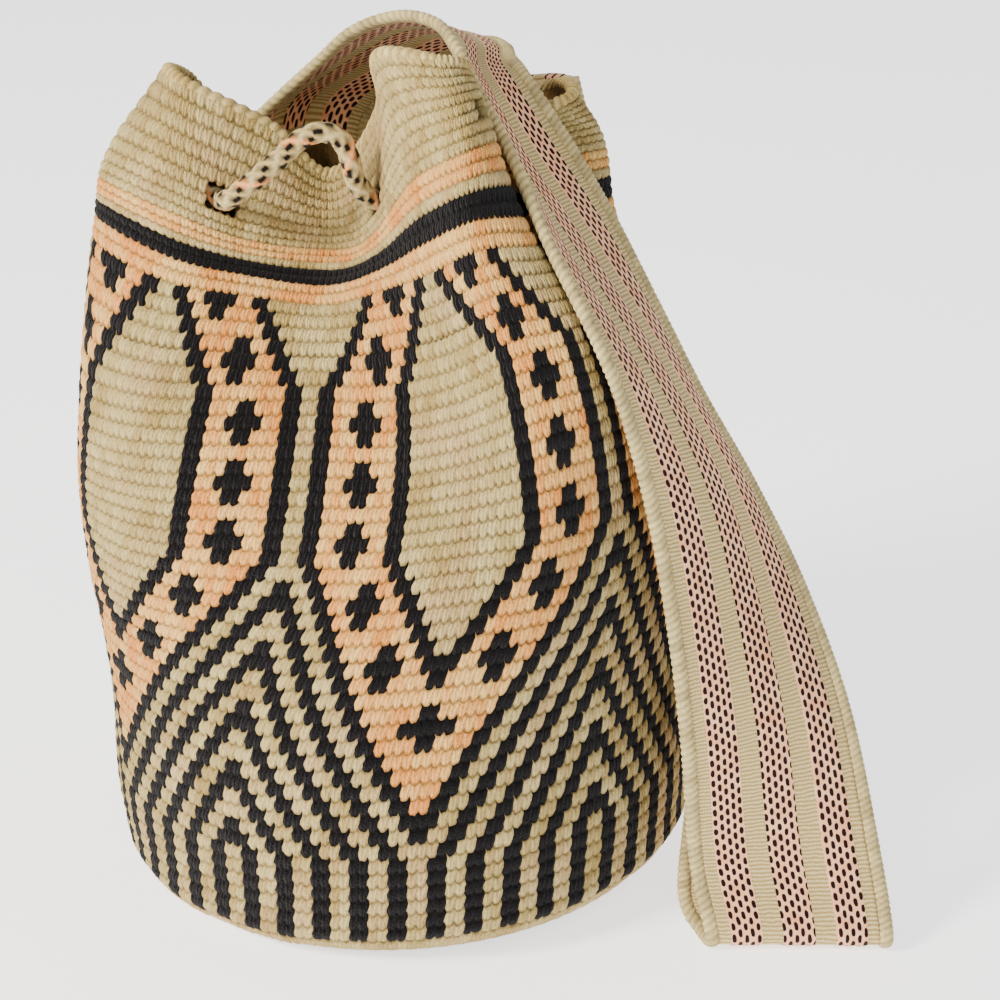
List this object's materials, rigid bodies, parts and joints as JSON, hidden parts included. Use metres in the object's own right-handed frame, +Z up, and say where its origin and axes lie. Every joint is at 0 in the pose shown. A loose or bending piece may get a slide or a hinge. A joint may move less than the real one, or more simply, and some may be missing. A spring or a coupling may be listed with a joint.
{
  "type": "wayuu mochila bag",
  "caption": "Crocheted wayuu mochila bucket bag with leaf and chevron pattern, gathered mouth, braided drawstring and woven shoulder strap.",
  "frame": {"origin": "middle of the flat part of the base, on the surface the bag stands on", "axes": "+Z up, -Y towards the front motif and the drawstring's front bight, +X towards the fallen strap"},
  "size_m": [0.2923, 0.2191, 0.3184],
  "materials": {
    "crochet": "matte",
    "strap_weave": "matte",
    "edging": "matte",
    "braid": "matte",
    "tassel": "matte"
  },
  "bodies": {
    "root": {"bag_body": "crochet", "strap_band": "strap_weave", "strap_edging_left": "edging", "strap_edging_right": "edging", "drawstring": "braid", "tassel_left": "tassel", "tassel_right": "tassel"}
  },
  "joints": []
}
